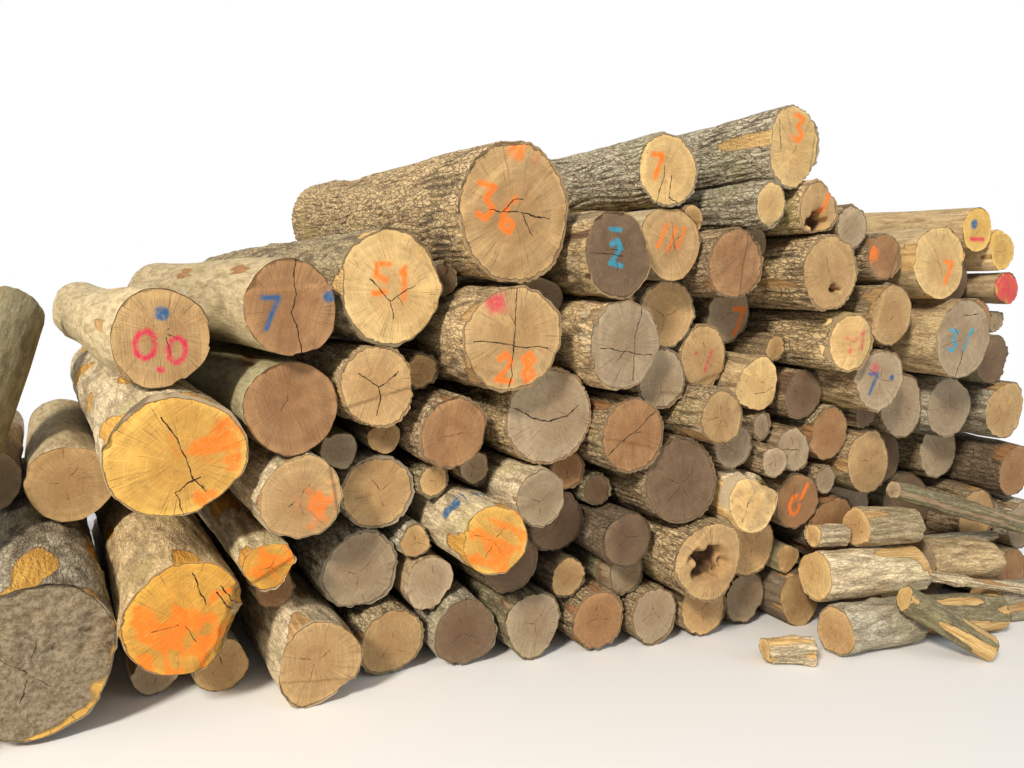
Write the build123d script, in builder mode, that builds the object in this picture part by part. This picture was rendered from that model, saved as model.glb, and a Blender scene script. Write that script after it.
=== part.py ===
from build123d import *
import math
import os

import numpy as np

os.makedirs("parts", exist_ok=True)

# A heap of felled logs stacked with their ends to the front.
# X runs along the front, Y runs back along the logs, Z is up. All sizes are millimetres.

# Driving dimensions
seat_gap = 0.4  # left between a log and what it rests on
sides = 16  # flats around a log
end_lean = 3.0  # degrees by which a chainsaw cut is off square
ovalness = 0.02  # of the radius
lobes = 0.01  # of the radius
flare = 0.04  # how much thicker a butt is at its very end, of the radius
sweep = 12.0  # how far the middle of a log bows out of line
front_plane = 300.0  # where the front of the logs is stacked, behind the front of the heap
back_plane = 2900.0  # where the back of the logs is stacked
hold = 0.02  # how strongly a log keeps to its noted place along the front while the heap sinks
roll = 60.0  # how far a log may then roll to find its seat

# Each log: the piece it belongs to, middle of its front end (x, z), front and back diameter, length,
# how far its front end lies behind the front of the heap,
# degrees by which it runs to the side towards the back.
logs_put_down = [
    # on the ground and in the hollows between the ground logs
    ("ground_row", -90, 130, 260, 270, 3100, 300, -9),
    ("ground_row", 230, 160, 300, 320, 3100, 300, -8),
    ("ground_row", 7180, 200, 380, 400, 3100, 300, -1),
    ("ground_row", 3010, 220, 430, 450, 3200, 250, -5),
    ("ground_row", 3490, 220, 430, 450, 3200, 300, -5),
    ("ground_row", 1180, 220, 430, 450, 3200, 250, -7),
    ("ground_row", 2570, 220, 430, 450, 3200, 250, -6),
    ("ground_row", 3930, 220, 430, 450, 3200, 400, -5),
    ("ground_row", 1640, 230, 450, 470, 3200, 250, -7),
    ("ground_row", 2110, 230, 450, 470, 3200, 250, -6),
    ("low_tan_log", 720, 240, 470, 490, 3300, -20, -8),
    ("ground_row", 4350, 250, 470, 490, 3100, 300, -4),
    ("ground_row", -1360, 260, 530, 550, 2700, 800, -10),
    ("ground_row", 6700, 260, 520, 550, 3200, 300, -2),
    ("ground_row", 4900, 280, 560, 590, 3200, 650, -4),
    ("ground_row", 5500, 280, 590, 620, 3200, 650, -3),
    ("ground_row", 6110, 280, 580, 610, 3200, 600, -2),
    ("weathered_butt_log", -590, 370, 740, 780, 3400, -60, -9),
    ("lower_logs", 2800, 520, 300, 320, 3100, 300, -6),
    ("lower_logs", 2370, 540, 300, 320, 3100, 300, -6),
    ("lower_logs", 1420, 560, 340, 360, 3100, 300, -7),
    ("lower_logs", 520, 560, 240, 250, 3100, 300, -8),
    # the lower courses
    ("lower_logs", 1940, 620, 400, 420, 3100, 300, -7),
    ("orange_butt_log", 20, 640, 590, 620, 3400, -30, -8),
    ("rotten_heart_log", 3250, 660, 560, 590, 3200, 0, -5),
    ("lower_logs", 980, 680, 480, 500, 3100, 300, -8),
    ("lower_logs", 3900, 700, 510, 530, 3100, 300, -5),
    ("right_slope_logs", 6840, 700, 440, 460, 3100, 300, -2),
    ("right_slope_logs", 6360, 750, 520, 550, 3200, 400, -2),
    ("lower_logs", 4230, 690, 240, 250, 3100, 300, -4),
    ("lower_logs", 4640, 760, 560, 590, 3100, 300, -4),
    ("lower_logs", 5820, 780, 600, 630, 3200, 650, -3),
    ("lower_logs", 5200, 780, 600, 630, 3200, 700, -3),
    ("lower_logs", -1130, 810, 450, 460, 2400, 1500, -9),
    ("dark_log_b", 2660, 850, 380, 400, 3100, 100, -6),
    ("dark_log_a", 2270, 880, 400, 420, 3200, 300, -6),
    ("small_orange_log", 390, 890, 280, 290, 3000, 0, -8),
    ("sprayed_bark_log", 1620, 910, 430, 450, 3100, -100, -7),
    ("lower_logs", 1290, 920, 220, 230, 3100, 300, -7),
    ("lower_logs", -670, 980, 490, 500, 2300, 1100, -9),
    ("pale_wedge_log", 3580, 1050, 430, 450, 3000, 0, -5),
    ("ring_marked_log", 4190, 1080, 420, 440, 3000, 250, -4),
    ("middle_logs", 2530, 1120, 230, 240, 3100, 300, -6),
    ("small_weathered_log", 1930, 1160, 350, 370, 3000, 0, -7),
    ("middle_logs", 1410, 1160, 220, 230, 3100, 300, -7),
    ("big_dark_log", 3010, 1170, 560, 590, 3200, 50, -5),
    ("right_slope_logs", 6620, 1200, 500, 520, 3100, 300, -2),
    ("middle_logs", 1050, 1200, 450, 470, 3100, 300, -7),
    ("middle_logs", 4480, 1220, 240, 250, 3100, 300, -4),
    ("pale_bark_log", 570, 1220, 460, 480, 3200, 0, -8),
    ("middle_logs", 2290, 1240, 280, 300, 3100, 300, -6),
    ("middle_logs", 1640, 1240, 230, 240, 3100, 300, -7),
    ("right_slope_logs", 6050, 1260, 540, 570, 3200, 600, -2),
    ("middle_logs", 5480, 1260, 540, 570, 3200, 700, -3),
    # the middle courses
    ("lumpy_yellow_log", -70, 1300, 640, 670, 3500, -50, -9),
    ("small_grey_log", 3790, 1330, 250, 260, 3000, 100, -5),
    ("middle_logs", 4940, 1340, 530, 560, 3100, 300, -4),
    ("grey_radial_log", 3440, 1410, 330, 350, 3000, 100, -5),
    ("middle_logs", 800, 1480, 230, 240, 3100, 300, -8),
    ("diagonal_crack_log", 2580, 1490, 470, 490, 3200, 0, -6),
    ("small_brown_log", 1410, 1500, 440, 460, 3100, 100, -7),
    ("grey_wedge_log", 4110, 1510, 340, 360, 3000, 250, -4),
    ("middle_logs", 4500, 1540, 450, 470, 3100, 300, -4),
    ("middle_logs", 1080, 1560, 220, 230, 3100, 300, -7),
    ("middle_logs", 3830, 1560, 210, 230, 3100, 300, -5),
    ("grey_arc_log", 2060, 1610, 580, 610, 3300, 100, -6),
    ("brown_star_log", 3150, 1620, 370, 390, 3000, -100, -5),
    ("fibrous_log", 420, 1670, 480, 510, 3200, 0, -8),
    ("right_slope_logs", 6410, 1680, 530, 560, 3100, 300, -2),
    ("middle_logs", 3440, 1700, 210, 220, 3100, 300, -5),
    ("middle_logs", 4850, 1720, 260, 270, 3100, 300, -4),
    ("middle_logs", 5770, 1720, 530, 560, 3100, 300, -3),
    ("upper_logs", 5230, 1780, 520, 550, 3100, 300, -3),
    ("upper_logs", 1220, 1780, 230, 240, 3100, 300, -7),
    ("star_check_log", 870, 1830, 460, 480, 3200, 50, -8),
    ("upper_logs", 4220, 1840, 390, 410, 3100, 300, -4),
    ("curled_bark_log", 3710, 1860, 410, 430, 3000, 250, -5),
    ("behind_grey_log", 2870, 1890, 380, 400, 3000, 100, -6),
    ("ring_blob_log", -100, 1890, 460, 480, 3200, 0, -12),
    ("blue_edge_log", 4610, 1970, 460, 480, 3000, 0, -4),
    # the upper courses
    ("pink_mark_log", 3290, 2000, 430, 450, 3000, 350, -5),
    ("sprayed_checked_log", 1640, 2030, 600, 630, 3300, -100, -7),
    ("cross_checked_log", 2430, 2040, 540, 570, 3200, -100, -6),
    ("upper_logs", 4970, 2100, 290, 300, 3100, 300, -4),
    ("right_slope_logs", 6220, 2140, 450, 470, 3100, 300, -2),
    ("upper_logs", 5740, 2140, 260, 270, 3100, 300, -3),
    ("upper_logs", 3870, 2140, 210, 230, 3100, 300, -5),
    ("blue_stroke_log", 490, 2160, 490, 510, 2900, -100, -16),
    ("bevelled_log", 4180, 2220, 400, 420, 3000, -100, -4),
    ("upper_logs", 2050, 2240, 300, 320, 3100, 300, -6),
    ("edge_mark_log", 3600, 2310, 420, 440, 3000, 500, -5),
    ("upper_logs", 2960, 2320, 490, 520, 3100, 300, -6),
    ("upper_logs", 1350, 2320, 200, 210, 3100, 300, -7),
    ("flared_log", 5350, 2340, 600, 630, 3200, -50, -3),
    ("upper_logs", 2610, 2360, 190, 200, 3100, 300, -6),
    ("upper_logs", 5900, 2430, 400, 420, 3200, 250, -3),
    ("half_shade_log", 4660, 2440, 460, 480, 3000, 0, -4),
    ("pale_cream_log", 960, 2460, 620, 650, 3200, 50, -12),
    ("right_slope_logs", 6200, 2480, 190, 200, 3100, 300, -2),
    ("upper_logs", 4980, 2520, 200, 210, 3100, 300, -4),
    ("cyan_mark_log", 2310, 2540, 490, 510, 3100, -100, -6),
    ("upper_logs", 3630, 2620, 160, 170, 3100, 300, -5),
    ("knot_hole_log", 4000, 2670, 510, 540, 3100, -50, -4),
    # the top
    ("big_tan_log", 1640, 2700, 720, 750, 3200, -50, -9),
    ("fibrous_grey_log", 3290, 2720, 480, 500, 3100, 100, -5),
    ("red_end_log", 6040, 2770, 290, 300, 2900, 150, -2),
    ("upper_logs", 5650, 2780, 430, 450, 3100, 300, -3),
    ("zigzag_mark_log", 2780, 2800, 500, 520, 3100, 100, -6),
    ("brown_edge_log", 4600, 2840, 350, 370, 3000, 50, -4),
    ("upper_logs", 4310, 2860, 210, 220, 3100, 300, -4),
    ("slabbed_log", 5100, 2890, 560, 590, 3100, 0, -3),
    ("upper_logs", 3650, 2900, 240, 250, 3100, 300, -5),
    ("upper_logs", 3080, 3000, 200, 210, 3100, 300, -5),
    ("yellow_end_log", 5960, 3060, 320, 340, 2900, 150, -3),
    ("grey_side_log", 4220, 3120, 310, 330, 3000, 50, -4),
    ("hollow_log", 3890, 3130, 360, 380, 3000, 0, -5),
    ("ochre_blob_log", 5590, 3170, 350, 370, 3000, 100, -3),
    ("clean_small_log", 3430, 3170, 290, 300, 2800, -50, -5),
    ("short_furrowed_log", 2860, 3290, 480, 500, 1900, 300, -6),
    ("top_log", 3650, 3520, 520, 550, 2800, 0, -5),
]

# The logs and short pieces that lie askew, thrown against the heap when it stood: the piece each belongs to,
# its two ends (x, y, z) before it settles, and its diameter at each.
logs_lying_askew = [
    ("leaning_log", (-1320, -420, 240), (-1170, 2330, 2040), 440, 500),
    ("cross_lying_billets", (4230, -170, 180), (5010, -100, 180), 330, 340),
    ("cross_lying_billets", (3640, -150, 110), (3960, -240, 110), 180, 190),
    ("cross_lying_billets", (5020, 330, 200), (5700, 370, 200), 360, 350),
    ("cross_lying_billets", (5190, -60, 170), (5950, -130, 170), 300, 310),
    ("cross_lying_billets", (6090, 50, 180), (6640, 10, 180), 330, 320),
    ("cross_lying_billets", (4250, 50, 520), (5190, 20, 520), 380, 360),
    ("cross_lying_billets", (5400, 180, 520), (6110, 90, 520), 390, 360),
    ("cross_lying_billets", (4760, -250, 460), (5330, -540, 130), 210, 200),
    ("cross_lying_billets", (4620, 90, 850), (5160, 70, 850), 300, 290),
    ("cross_lying_billets", (4260, 140, 780), (4560, 140, 780), 190, 180),
    ("thin_poles", (4950, 80, 1080), (6920, 60, 680), 160, 140),
    ("thin_poles", (5050, 440, 640), (6370, 170, 740), 110, 90),
    ("thin_poles", (5200, -20, 760), (6850, -110, 460), 90, 70),
]
straight = (
    "ground_row",
    "lower_logs",
    "middle_logs",
    "upper_logs",
    "right_slope_logs",
    "cross_lying_billets",
    "thin_poles",
)


class Log:
    """A felled log: its two end points, and its radius and bow at each of four outlines along it."""

    def __init__(self, name, x, z, front, back, length, behind, fan, number):
        run = math.radians(fan)
        self.name = name
        self.number = number
        self.front = front / 2
        self.back = back / 2
        self.plain = name in straight
        self.start = np.array([x, behind, z], float)
        self.stop = self.start + length * np.array([math.sin(run), math.cos(run), 0.0])
        self.aside = np.array([1.0, 0.0])
        self.askew = False
        taper = np.linspace(self.front, self.back, 4)
        self.radii = taper if self.plain else taper * np.array([1 + flare, 1.0, 1.0, 1.0])
        bow = (0.0 if self.plain else sweep) * np.array([0.0, 0.9, 0.9, 0.0])
        turn = 1.9 * number
        self.bow_across = bow * math.cos(turn)
        self.bow_up = bow * math.sin(turn)
        angle = np.arange(sides) * 2 * math.pi / sides
        self.outline = (
            1
            + ovalness * np.cos(2 * angle + 2.4 * number)
            + lobes * np.cos(3 * angle + 1.7 * number)
            + lobes * np.cos(5 * angle + 0.9 * number)
        )

    def axes(self):
        along = self.stop - self.start
        length = math.sqrt(along @ along)
        along = along / length
        across = np.array([along[1], -along[0], 0.0])
        across = across / math.sqrt(across @ across)
        up = np.cross(across, along)
        return along, across, up, length


def circle_at(log, y):
    """Where a plane across the heap cuts the log: x, z and radius."""
    along, across, up, length = log.axes()
    share = (y - log.start[1]) / (log.stop[1] - log.start[1])
    middle = log.start + share * (log.stop - log.start)
    radius = log.front + (log.back - log.front) * share
    return middle[0], middle[2], radius


def slump(places, radii, across):
    """Lets circles on a floor sink together until each lies on those under it; across is where each was noted."""
    spans = radii[:, None] + radii[None, :] + seat_gap
    for turn in range(700):
        places[:, 1] -= 1.5 * (1 - turn / 700)
        places[:, 0] += hold * (across - places[:, 0])
        for again in range(4):
            apart = places[:, None, :] - places[None, :, :]
            distance = np.hypot(apart[..., 0], apart[..., 1]) + np.eye(len(radii)) * 1e6
            deep = np.maximum(spans - distance, 0.0)
            upper = 1 / (1 + np.exp((places[None, :, 1] - places[:, None, 1]) / 25.0))
            places += ((apart / distance[..., None]) * (deep * (0.1 + 0.8 * upper))[..., None]).sum(axis=1) * 0.7
            places[:, 1] = np.maximum(places[:, 1], radii)
    return places


def cut_normals(log):
    """The directions square to the saw cuts at the front and at the back of a log."""
    along, across, up, length = log.axes()
    lean = math.radians(end_lean)
    return [
        along
        + lean * math.sin(3.1 * log.number + sign) * across
        + lean * math.cos(2.3 * log.number + sign) * up
        for sign in (1, 2)
    ]


def stacked(logs):
    """The logs' numbers as arrays, one row for each log."""
    axes = [log.axes() for log in logs]
    return {
        "start": np.array([log.start for log in logs]),
        "along": np.array([a[0] for a in axes]),
        "across": np.array([a[1] for a in axes]),
        "up": np.array([a[2] for a in axes]),
        "length": np.array([a[3] for a in axes]),
        "radii": np.array([log.radii for log in logs]),
        "bow_across": np.array([log.bow_across for log in logs]),
        "bow_up": np.array([log.bow_up for log in logs]),
        "outline": np.array([log.outline for log in logs]),
        "stop": np.array([log.stop for log in logs]),
        "cuts": np.array([cut_normals(log) for log in logs]),
    }


def between_rings(values, share):
    """A value given at the four outlines, read off at a share of the length, with a row for each log."""
    at = np.clip(share * 3, -0.1, 3.1)
    ring = np.clip(np.floor(at).astype(int), 0, 2)
    part = at - ring
    low = np.take_along_axis(values, ring, 1)
    high = np.take_along_axis(values, ring + 1, 1)
    return low + (high - low) * part


def outline_at(outlines, angle):
    """The radius of the flat-sided outline at an angle, as a share of the log's radius."""
    step = 2 * math.pi / sides
    turn = np.mod(angle, 2 * math.pi) / step
    corner = np.floor(turn).astype(int) % sides
    rest = (turn - np.floor(turn)) * step
    here = np.take_along_axis(outlines, corner, 1)
    after = np.take_along_axis(outlines, (corner + 1) % sides, 1)
    return here * after * math.sin(step) / (here * np.sin(rest) + after * np.sin(step - rest))


def depth_outside(points, others, to_the_cut=False):
    """How far each point lies outside each of the other logs, with a row for each log."""
    away = points[None, :, :] - others["start"][:, None, :]
    share = np.einsum("mnk,mk->mn", away, others["along"]) / others["length"][:, None]
    sideways = np.einsum("mnk,mk->mn", away, others["across"]) - between_rings(others["bow_across"], share)
    upwards = np.einsum("mnk,mk->mn", away, others["up"]) - between_rings(others["bow_up"], share)
    radius = between_rings(others["radii"], share)
    edge = outline_at(others["outline"], np.arctan2(upwards, sideways)) * radius
    outside = np.hypot(sideways, upwards) - edge
    if not to_the_cut:
        return np.where((share > -0.012) & (share < 1.012), outside, 1e4)
    past_front = np.einsum("mnk,mk->mn", away, others["cuts"][:, 0]) > -seat_gap
    before_back = np.einsum("mnk,mk->mn", points[None] - others["stop"][:, None], others["cuts"][:, 1]) < seat_gap
    return np.where(past_front & before_back, outside, 1e4)


def middle_line(log, shares):
    along, across, up, length = log.axes()
    rows = shares[None, :]
    bow_a = between_rings(log.bow_across[None, :], rows)[0]
    bow_u = between_rings(log.bow_up[None, :], rows)[0]
    radius = between_rings(log.radii[None, :], rows)[0]
    line = log.start + np.outer(shares * length, along) + np.outer(bow_a, across) + np.outer(bow_u, up)
    return line, radius, across, up


few = np.linspace(0, 1, 10)
many = np.linspace(-0.01, 1.01, 103)
corner_angles = np.arange(sides) * 2 * math.pi / sides


def rough_gap(log, others):
    """The least gap to the other logs, taken along the line between middles."""
    line, radius, across, up = middle_line(log, few)
    away = line[None, :, :] - others["start"][:, None, :]
    share = np.einsum("mnk,mk->mn", away, others["along"]) / others["length"][:, None]
    sideways = np.einsum("mnk,mk->mn", away, others["across"]) - between_rings(others["bow_across"], share)
    upwards = np.einsum("mnk,mk->mn", away, others["up"]) - between_rings(others["bow_up"], share)
    angle = np.arctan2(upwards, sideways)
    distance = np.hypot(sideways, upwards)
    theirs = outline_at(others["outline"], angle) * between_rings(others["radii"], share)
    mine = outline_at(np.repeat(log.outline[None, :], len(share), 0), angle + math.pi) * radius
    gap = distance - theirs - mine
    gap = np.where((share > -0.012) & (share < 1.012), gap, 1e4)
    return gap.min(axis=1)


def corner_points(log, shares):
    line, radius, across, up = middle_line(log, shares)
    ring = np.outer(np.cos(corner_angles) * log.outline, across) + np.outer(np.sin(corner_angles) * log.outline, up)
    return (line[:, None, :] + radius[:, None, None] * ring[None, :, :]).reshape(-1, 3)


def lowest(log):
    points = ring_points(log) if log.askew else corner_points(log, np.array([0.0, 1 / 3, 2 / 3, 1.0]))
    return points[..., 2].min()


def skin_points(log):
    """Points along the corner lines of a log, from saw cut to saw cut, and along the rims of its saw cuts."""
    rows = ring_points(log)
    shares = np.linspace(0, 1, 52)[:, None, None]
    lines = [low + (high - low) * shares for low, high in zip(rows, rows[1:])]
    rims = [ring + (np.roll(ring, -1, axis=0) - ring) * shares for ring in (rows[0], rows[-1])]
    return np.concatenate(lines + rims).reshape(-1, 3)


def true_gap(log, others, other_points):
    """The least gap from corner lines to flats, both ways."""
    points = skin_points(log) if log.askew else corner_points(log, many)
    gap = depth_outside(points, others, log.askew).min()
    return min(gap, depth_outside(other_points, stacked([log]), log.askew).min())


def moved(log, end, step_aside, step_z):
    for point, other_end in ((log.start, "back"), (log.stop, "front")):
        if end != other_end:
            point[:2] += step_aside * log.aside
            point[2] += step_z


downhill = [(0.0, -1.0), (0.6, -0.8), (-0.6, -0.8)]


def lay(logs):
    """Lets the whole heap sink together at its front and at its back, and runs each log between its two places."""
    spots = []
    for plane in (front_plane, back_plane):
        circles = np.array([circle_at(log, plane) for log in logs])
        places = circles[:, :2].copy()
        places[:, 1] *= circles[:, 2] / np.array([log.front for log in logs])
        if spots:
            places[:, 1] = spots[0][:, 1] * (circles[:, 2] / front_radii)
        front_radii = circles[:, 2]
        spots.append(slump(places, circles[:, 2], circles[:, 0].copy()))
    for log, front_spot, back_spot in zip(logs, *spots):
        slope = (back_spot - front_spot) / (back_plane - front_plane)
        for point in (log.start, log.stop):
            point[0], point[2] = front_spot + slope * (point[1] - front_plane)


def boxes_meet(log, other, reach):
    mine = ring_points(log).reshape(-1, 3)
    theirs = ring_points(other).reshape(-1, 3)
    return bool(((mine.min(0) - reach < theirs.max(0)) & (theirs.min(0) - reach < mine.max(0))).all())


def settle(log, placed):
    """Rolls each end of a log downhill until its outline rests on those under it."""
    home = (log.start[:2].copy(), log.stop[:2].copy())
    near = None
    points = None

    def clear(fine):
        if lowest(log) < 0:
            return False
        if near is None:
            return True
        if fine:
            return true_gap(log, near, points) >= seat_gap
        return rough_gap(log, near).min() >= seat_gap

    for step in (16, 8, 4, 2, 1, 0.5, 0.25):
        fine = step <= 2 or log.askew
        if placed and step in (16, 2):
            if log.askew:
                close = [other for other in placed if boxes_meet(log, other, 300)]
            else:
                gaps = rough_gap(log, stacked(placed))
                close = [other for other, gap in zip(placed, gaps) if gap < (2 * roll if step == 16 else 30)]
            near = stacked(close) if close else None
            if close:
                points = [skin_points(other) if log.askew else corner_points(other, many) for other in close]
                points = np.concatenate(points)
        while not clear(fine):
            moved(log, "both", 0, step)
        going = True
        rounds = 0
        while going and rounds < (25 if log.askew else 5):
            going = False
            rounds += 1
            for end in ("both", "front", "back"):
                for step_aside, step_z in downhill:
                    moved(log, end, step * step_aside, step * step_z)
                    strayed = [abs((point[:2] - spot) @ log.aside) for point, spot in zip((log.start, log.stop), home)]
                    if max(strayed) <= roll and clear(fine):
                        going = True
                    else:
                        moved(log, end, -step * step_aside, -step * step_z)
    if near is None or log.askew or true_gap(log, near, points) < 2 * seat_gap:
        return
    # it lies on the floor alone, so it rolls along until it meets its neighbour
    neighbour = close[rough_gap(log, near).argmin()]
    side = 1 if (neighbour.start[:2] - log.start[:2]) @ log.aside > 0 else -1
    for step in (8, 4, 2, 1, 0.5, 0.25):
        for again in range(12):
            moved(log, "both", side * step, 0)
            if not clear(True):
                moved(log, "both", -side * step, 0)
                break


def ring_points(log):
    """The corners of the outlines, the end ones slid along the log to its leaning saw cuts."""
    points = corner_points(log, np.array([0.0, 1 / 3, 2 / 3, 1.0])).reshape(4, sides, 3)
    for ring, inner_ring, normal in zip((0, 3), (1, 2), cut_normals(log)):
        middle = points[ring].mean(axis=0)
        for corner in range(sides):
            edge = points[inner_ring][corner] - points[ring][corner]
            slide = ((middle - points[ring][corner]) @ normal) / (edge @ normal)
            points[ring][corner] = points[ring][corner] + slide * edge
    return points[[0, 3]] if log.plain else points


def flat_faced(body):
    """The same body with each of its flats as a true plane."""
    return Solid(Shell([Face(face.outer_wire()) for face in body.faces()]))


heap = []
waiting = [Log(*row, number) for number, row in enumerate(logs_put_down)]
lay(waiting)
for log in sorted(waiting, key=lambda log: log.start[2] + log.stop[2]):
    settle(log, heap)
    heap.append(log)
for number, (name, front_end, back_end, front, back) in enumerate(logs_lying_askew):
    log = Log(name, front_end[0], front_end[2], front, back, math.dist(front_end, back_end), front_end[1], 0, number)
    log.stop = np.array(back_end, float)
    log.aside = log.axes()[1][:2]
    log.askew = True
    settle(log, heap)
    heap.append(log)

# the heap stands on z = 0 with the middle of its box over the origin
corners = np.concatenate([ring_points(log).reshape(-1, 3) for log in heap])
shift = (corners.min(axis=0) + corners.max(axis=0)) / 2
shift[2] = corners[:, 2].min()

pieces = {}
for log in heap:
    rows = ring_points(log) - shift
    with BuildPart() as trunk:
        for ring in rows:
            flat = Plane(
                origin=tuple(ring[0]),
                x_dir=tuple(ring[1] - ring[0]),
                z_dir=tuple(np.cross(ring[1] - ring[0], ring[sides // 2] - ring[0])),
            )
            with BuildSketch(flat):
                with BuildLine():
                    Polyline(*[flat.to_local_coords(Vector(*point)) for point in ring], close=True)
                make_face()
        loft(ruled=True)
    pieces.setdefault(log.name, []).append(flat_faced(trunk.part))

for name, logs in pieces.items():
    piece = logs[0] if len(logs) == 1 else Compound(children=logs)
    piece.label = name
    export_step(piece, f"parts/{name}.step")
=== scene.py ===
import math

import bpy
import numpy as np
from mathutils import Matrix, Vector


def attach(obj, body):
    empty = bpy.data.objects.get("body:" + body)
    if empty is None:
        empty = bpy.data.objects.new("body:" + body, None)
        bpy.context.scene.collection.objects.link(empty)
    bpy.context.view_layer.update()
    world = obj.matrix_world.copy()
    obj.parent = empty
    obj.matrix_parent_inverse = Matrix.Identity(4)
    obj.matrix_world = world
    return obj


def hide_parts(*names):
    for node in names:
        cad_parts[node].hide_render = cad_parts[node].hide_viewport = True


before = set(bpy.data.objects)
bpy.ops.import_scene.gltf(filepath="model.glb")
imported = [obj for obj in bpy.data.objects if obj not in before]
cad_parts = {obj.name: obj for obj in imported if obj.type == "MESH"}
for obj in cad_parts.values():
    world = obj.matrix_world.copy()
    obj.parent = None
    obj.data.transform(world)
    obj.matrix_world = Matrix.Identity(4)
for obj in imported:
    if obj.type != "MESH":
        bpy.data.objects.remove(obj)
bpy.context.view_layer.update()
bpy.ops.object.select_all(action="DESELECT")
scene = bpy.context.scene
print("frame loaded:", len(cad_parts), "nodes")

# tones of sawn wood and of bark, as linear colours
woodTones = {
    "cream": (0.70, 0.49, 0.22),
    "tan": (0.54, 0.355, 0.165),
    "brown": (0.37, 0.205, 0.095),
    # dark: painted shade on dark_log_a, dark_log_b and big_dark_log; the same tone also goes to cyan_mark_log and
    # to some hidden logs
    "dark": (0.19, 0.125, 0.075),
    "grey": (0.40, 0.31, 0.20),
    "yellow": (0.66, 0.43, 0.13),
    "orange": (0.58, 0.30, 0.09),
    "amber": (0.58, 0.31, 0.055),
    "honey": (0.68, 0.40, 0.095),
}
barkTones = {
    "brown": (0.34, 0.25, 0.145),
    "golden": (0.50, 0.365, 0.20),
    "grey": (0.42, 0.37, 0.27),
    "olive": (0.40, 0.32, 0.19),
    "mossy": (0.26, 0.225, 0.13),
    "pale": (0.60, 0.49, 0.32),
    # dark: painted shade on dark_log_a and dark_log_b; the same tone also goes to some hidden logs
    "dark": (0.17, 0.125, 0.08),
}
barkCoarseness = {"furrowed": 1.0, "scaly": 0.75, "flaky": 0.5, "smooth": 0.1}

# hand-sprayed signs, drawn as bent lines in a box one unit wide and high
strokes = {
    "1": [[(0.35, 0.8), (0.55, 1.0), (0.55, 0.0)]],
    "2": [[(0.1, 0.8), (0.5, 1.0), (0.85, 0.7), (0.1, 0.05), (0.95, 0.0)]],
    "3": [[(0.1, 0.95), (0.8, 0.9), (0.4, 0.55), (0.85, 0.3), (0.5, 0.0), (0.1, 0.1)]],
    "5": [[(0.9, 1.0), (0.25, 0.95), (0.2, 0.55), (0.75, 0.5), (0.8, 0.1), (0.15, 0.0)]],
    "6": [[(0.8, 1.0), (0.3, 0.6), (0.2, 0.15), (0.6, 0.0), (0.8, 0.3), (0.3, 0.4)]],
    "7": [[(0.1, 0.95), (0.9, 1.0), (0.4, 0.0)]],
    "8": [[(0.5, 0.5), (0.15, 0.8), (0.5, 1.0), (0.8, 0.8), (0.2, 0.25), (0.5, 0.0), (0.85, 0.25),
           (0.5, 0.5)]],
    "slash": [[(0.2, 0.0), (0.8, 1.0)]],
    "bar": [[(0.0, 0.5), (1.0, 0.55)]],
    "dot": [[(0.45, 0.5), (0.55, 0.52)]],
    "ring": [[(1.0, 0.52), (0.88, 0.85), (0.55, 1.0), (0.18, 0.88), (0.0, 0.5), (0.14, 0.14), (0.5, 0.0),
              (0.86, 0.14), (1.0, 0.52)]],
}
paints = ["orange", "blue", "red", "cyan"]
paintColours = {"orange": (0.86, 0.17, 0.01), "blue": (0.006, 0.10, 0.24), "red": (0.62, 0.012, 0.07),
                "cyan": (0.01, 0.30, 0.44)}

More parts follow.
